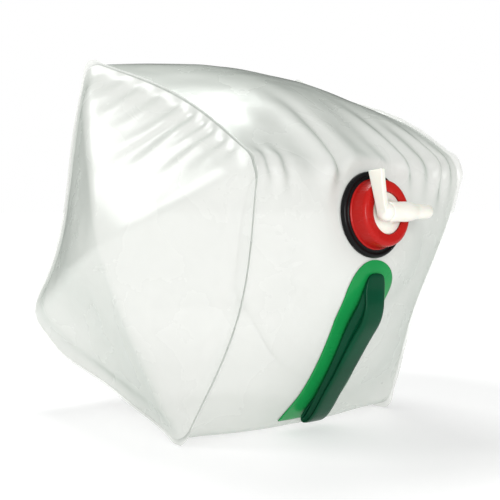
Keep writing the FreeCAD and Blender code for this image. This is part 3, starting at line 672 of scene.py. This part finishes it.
def groupMix(group, share, first, second):
    mix = group.nodes.new("ShaderNodeMix")
    mix.data_type = "RGBA"
    firstSocket, secondSocket, result = mixSockets["RGBA"]
    group.links.new(share, mix.inputs[0])
    group.links.new(first, mix.inputs[firstSocket])
    group.links.new(second, mix.inputs[secondSocket])
    return mix.outputs[result]


# How the shared surface is made up: how fine each noise is, and relief depths in metres.
surfaceDetail = {
    "noiseRange": (0.3, 0.7), "tone": 4, "smudge": 5, "smudgeScale": 2.3, "smudgeTwist": 0.6,
    "grain": 2, "grainDepth": 0.0002, "wave": 2, "waveTwist": 0.8, "waveDepth": 0.002,
}


def buildSurfaceGroup(name, toneScale, grainScale, grainStrength, waveScale=0.0,
                      waveStrength=0.0, roughSpread=0.06):
    # tone variation between two colours, uneven gloss, and one or two scales of relief
    group = shaderGroup(name, [("First", "NodeSocketColor", (1, 1, 1, 1)),
                               ("Second", "NodeSocketColor", (1, 1, 1, 1)),
                               ("Gloss", "NodeSocketFloat", 0.3)])
    entry = group.nodes.new("NodeGroupInput")
    result = group.nodes.new("NodeGroupOutput")
    patches = groupNoise(group, toneScale, surfaceDetail["tone"])
    tone = mapRange(group, patches, (*surfaceDetail["noiseRange"], 0, 1))
    colour = groupMix(group, tone, entry.outputs["First"], entry.outputs["Second"])
    group.links.new(colour, result.inputs["Color"])
    smudge = groupNoise(group, toneScale * surfaceDetail["smudgeScale"], surfaceDetail["smudge"],
                        surfaceDetail["smudgeTwist"])
    unevenness = mapRange(group, smudge,
                          (*surfaceDetail["noiseRange"], -roughSpread, roughSpread))
    gloss = mathNode(group, "ADD", entry.outputs["Gloss"], unevenness)
    group.links.new(gloss.outputs[0], result.inputs["Roughness"])
    grain = groupNoise(group, grainScale, surfaceDetail["grain"])
    normal = groupBump(group, grain, grainStrength, surfaceDetail["grainDepth"])
    if waveStrength:
        wave = groupNoise(group, waveScale, surfaceDetail["wave"], surfaceDetail["waveTwist"])
        normal = groupBump(group, wave, waveStrength, surfaceDetail["waveDepth"], normal)
    group.links.new(normal, result.inputs["Normal"])
    return group


def surfaceMaterial(name, group, first, second, gloss, **extra):
    # extra holds Principled sockets that are the same all over, with _ for a space
    made = bpy.data.materials.new(name)
    made.use_nodes = True
    nodes, links = made.node_tree.nodes, made.node_tree.links
    shader = nodes["Principled BSDF"]
    surface = nodes.new("ShaderNodeGroup")
    surface.node_tree = group
    surface.inputs["First"].default_value = (*first, 1)
    surface.inputs["Second"].default_value = (*second, 1)
    surface.inputs["Gloss"].default_value = gloss
    links.new(surface.outputs["Color"], shader.inputs["Base Color"])
    links.new(surface.outputs["Roughness"], shader.inputs["Roughness"])
    links.new(surface.outputs["Normal"], shader.inputs["Normal"])
    for socket, amount in extra.items():
        shader.inputs[socket.replace("_", " ")].default_value = amount
    return made


def thinFilm(made, faceOn, edgeOn, blend):
    # a clear film looks denser where it is seen along its surface
    tree = made.node_tree
    facing = tree.nodes.new("ShaderNodeLayerWeight")
    facing.inputs["Blend"].default_value = blend
    density = mapRange(tree, facing.outputs["Facing"], (0.0, 1.0, faceOn, edgeOn))
    tree.links.new(density, tree.nodes["Principled BSDF"].inputs["Alpha"])


def dress(piece, made):
    if not piece.material_slots:
        piece.data.materials.append(None)
    for slot in piece.material_slots:
        slot.material = made


print("materials")
mouldedGroup = buildSurfaceGroup("mouldedPlastic", toneScale=14, grainScale=2600,
                                 grainStrength=0.08, waveScale=160, waveStrength=0.03)
rubberGroup = buildSurfaceGroup("softRubber", toneScale=20, grainScale=1800, grainStrength=0.25)
filmGroup = buildSurfaceGroup("filmSurface", toneScale=7, grainScale=900, grainStrength=0.05,
                              waveScale=26, waveStrength=0.16, roughSpread=0.05)
filmMaterial = surfaceMaterial("milkyFilm", filmGroup, (0.765, 0.75, 0.735),
                               (0.81, 0.795, 0.78), 0.27, IOR=1.5, Coat_Weight=1.0,
                               Coat_IOR=1.05, Coat_Tint=(0.885, 0.908, 0.892, 1))
thinFilm(filmMaterial, faceOn=0.70, edgeOn=1.0, blend=0.45)
blackMaterial = surfaceMaterial("blackMoulding", mouldedGroup, (0.004, 0.004, 0.004),
                                (0.007, 0.007, 0.008), 0.26, Specular_IOR_Level=0.13)
sealMaterial = surfaceMaterial("sealRubber", rubberGroup, (0.012, 0.012, 0.013),
                               (0.020, 0.020, 0.021), 0.55)
redMaterial = surfaceMaterial("redMoulding", mouldedGroup, (0.36, 0.006, 0.005),
                              (0.46, 0.010, 0.007), 0.26, Specular_IOR_Level=0.20)
whiteMaterial = surfaceMaterial("whiteMoulding", mouldedGroup, (0.74, 0.725, 0.655),
                                (0.80, 0.79, 0.72), 0.30, Subsurface_Weight=0.15,
                                Subsurface_Scale=0.004)
paleGreenMaterial = surfaceMaterial("paleGreenFilm", filmGroup, (0.006, 0.225, 0.050),
                                    (0.012, 0.275, 0.070), 0.28, Specular_IOR_Level=0.15)
thinFilm(paleGreenMaterial, faceOn=0.95, edgeOn=1.0, blend=0.5)
darkGreenMaterial = surfaceMaterial("darkGreenMoulding", mouldedGroup, (0.0015, 0.040, 0.017),
                                    (0.003, 0.060, 0.028), 0.18, Specular_IOR_Level=0.09)
for piece in (wrapFilm, leftFilm, rightFilm):
    dress(piece, filmMaterial)
dress(handlePatch, paleGreenMaterial)
dress(handleGrip, darkGreenMaterial)
dress(neckFlange, blackMaterial)
dress(screwRing, redMaterial)
for piece in (tapBoss, tapTube, plugHub, tapLever):
    dress(piece, whiteMaterial)
nodeMaterials = {
    "backing_nut": blackMaterial, "film_gasket": sealMaterial, "cap_gasket": sealMaterial,
    "plug_seal_outer": sealMaterial, "plug_seal_inner": sealMaterial,
    "handle_studs": darkGreenMaterial,
}
for node, made in nodeMaterials.items():
    dress(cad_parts[node], made)

studio = {
    "lens": 75, "sensor": 36, "clipEnd": 50, "azimuth": -40.5, "elevation": 2.5,
    "right": 6.0, "up": -7.25, "distance": 990,
    "skyTint": (0.93, 0.98, 0.945), "skyHigh": 0.70, "skyLow": 0.15,
    "skyLean": (-0.62, -0.76, 0.18), "skyRange": (-0.3, 0.9),
    "floorHalf": 20, "floorColour": (0.5, 0.5, 0.5, 1), "floorRoughness": 0.6,
    "floorSpecular": 0.2, "floorGlow": 0.58, "floorNear": -0.06, "floorFar": 0.7,
    "floorFade": (0.3, 0.75),
}
white = (1, 1, 1, 1)

# Soft boxes: name, place, what they face, size and power.
lamps = [
    ("leftBox", (-0.99, 0.70, 0.76), (-0.14, 0, 0.22), (0.66, 0.42), 7.6),
    ("topBox", (0.17, 0.41, 1.36), (-0.09, -0.05, 0.3), (0.62, 0.44), 10.0),
    ("keyBox", (-0.98, -1.68, 0.46), (0, 0, 0.17), (0.9, 0.9), 22.5),
]


def placeCamera():
    turn, rise = math.radians(studio["azimuth"]), math.radians(studio["elevation"])
    back = Vector((math.sin(turn) * math.cos(rise), -math.cos(turn) * math.cos(rise),
                   math.sin(rise)))
    right = Vector((math.cos(turn), math.sin(turn), 0))
    up = back.cross(right)
    data = bpy.data.cameras.new("camera")
    data.lens = studio["lens"]
    data.sensor_width = studio["sensor"]
    data.clip_end = studio["clipEnd"]
    camera = bpy.data.objects.new("camera", data)
    spot = (Vector((0, 0, bagLift)) + right * studio["right"] + up * studio["up"]
            + back * studio["distance"]) * millimetre
    rotation = Matrix((right, up, back)).transposed()
    camera.matrix_world = Matrix.Translation(spot) @ rotation.to_4x4()
    scene.collection.objects.link(camera)
    scene.camera = camera


def areaLight(name, location, target, size, power):
    data = bpy.data.lights.new(name, "AREA")
    data.shape = "RECTANGLE"
    data.size, data.size_y = size
    data.energy = power
    lamp = bpy.data.objects.new(name, data)
    lamp.location = location
    facing = Vector(target) - Vector(location)
    lamp.rotation_euler = facing.to_track_quat("-Z", "Y").to_euler()
    scene.collection.objects.link(lamp)


def buildFloor():
    bm = bmesh.new()
    bmesh.ops.create_grid(bm, x_segments=1, y_segments=1, size=studio["floorHalf"])
    floor = bpy.data.objects.new("floor", meshFrom(bm, "floor", False))
    scene.collection.objects.link(floor)
    made = bpy.data.materials.new("paleFloor")
    made.use_nodes = True
    tree = made.node_tree
    nodes, links = tree.nodes, tree.links
    shader = nodes["Principled BSDF"]
    shader.inputs["Base Color"].default_value = studio["floorColour"]
    shader.inputs["Roughness"].default_value = studio["floorRoughness"]
    shader.inputs["Specular IOR Level"].default_value = studio["floorSpecular"]
    shader.inputs["Emission Color"].default_value = white
    # what the camera sees of it fades to plain white away from the bag
    coordinates = nodes.new("ShaderNodeTexCoord")
    reach = nodes.new("ShaderNodeVectorMath")
    reach.operation = "LENGTH"
    links.new(coordinates.outputs["Object"], reach.inputs[0])
    fade = mapRange(tree, reach.outputs["Value"],
                    (*studio["floorFade"], studio["floorNear"], studio["floorFar"]))
    path = nodes.new("ShaderNodeLightPath")
    seen = mathNode(tree, "MULTIPLY_ADD", path.outputs["Is Camera Ray"], fade)
    seen.inputs[2].default_value = studio["floorGlow"]
    links.new(seen.outputs[0], shader.inputs["Emission Strength"])
    dress(floor, made)


def buildSky():
    # plain white to the camera; the light it gives falls off towards the right and back
    world = bpy.data.worlds.new("studioSky")
    world.use_nodes = True
    scene.world = world
    tree = world.node_tree
    nodes, links = tree.nodes, tree.links
    shade = nodes["Background"]
    coordinates = nodes.new("ShaderNodeTexCoord")
    lean = nodes.new("ShaderNodeVectorMath")
    lean.operation = "DOT_PRODUCT"
    lean.inputs[1].default_value = Vector(studio["skyLean"])
    links.new(coordinates.outputs["Generated"], lean.inputs[0])
    fall = mapRange(tree, lean.outputs["Value"],
                    (*studio["skyRange"], studio["skyLow"], studio["skyHigh"]))
    path = nodes.new("ShaderNodeLightPath")
    seen = mathNode(tree, "MAXIMUM", path.outputs["Is Camera Ray"],
                    path.outputs["Is Transmission Ray"])
    tint = nodes.new("ShaderNodeMix")
    tint.data_type = "RGBA"
    tintFirst, tintSecond, tintResult = mixSockets["RGBA"]
    tint.inputs[tintFirst].default_value = (*studio["skyTint"], 1)
    tint.inputs[tintSecond].default_value = white
    links.new(lean.outputs["Value"], tint.inputs[0])
    for kind, plain, source, target in (("FLOAT", 1.0, fall, "Strength"),
                                        ("RGBA", white, tint.outputs[tintResult], "Color")):
        mix = nodes.new("ShaderNodeMix")
        mix.data_type = kind
        first, second, result = mixSockets[kind]
        mix.inputs[second].default_value = plain
        links.new(seen.outputs[0], mix.inputs[0])
        links.new(source, mix.inputs[first])
        links.new(mix.outputs[result], shade.inputs[target])


print("studio")
placeCamera()
buildFloor()
buildSky()
for lampRow in lamps:
    areaLight(*lampRow)
scene.view_settings.view_transform = "Standard"
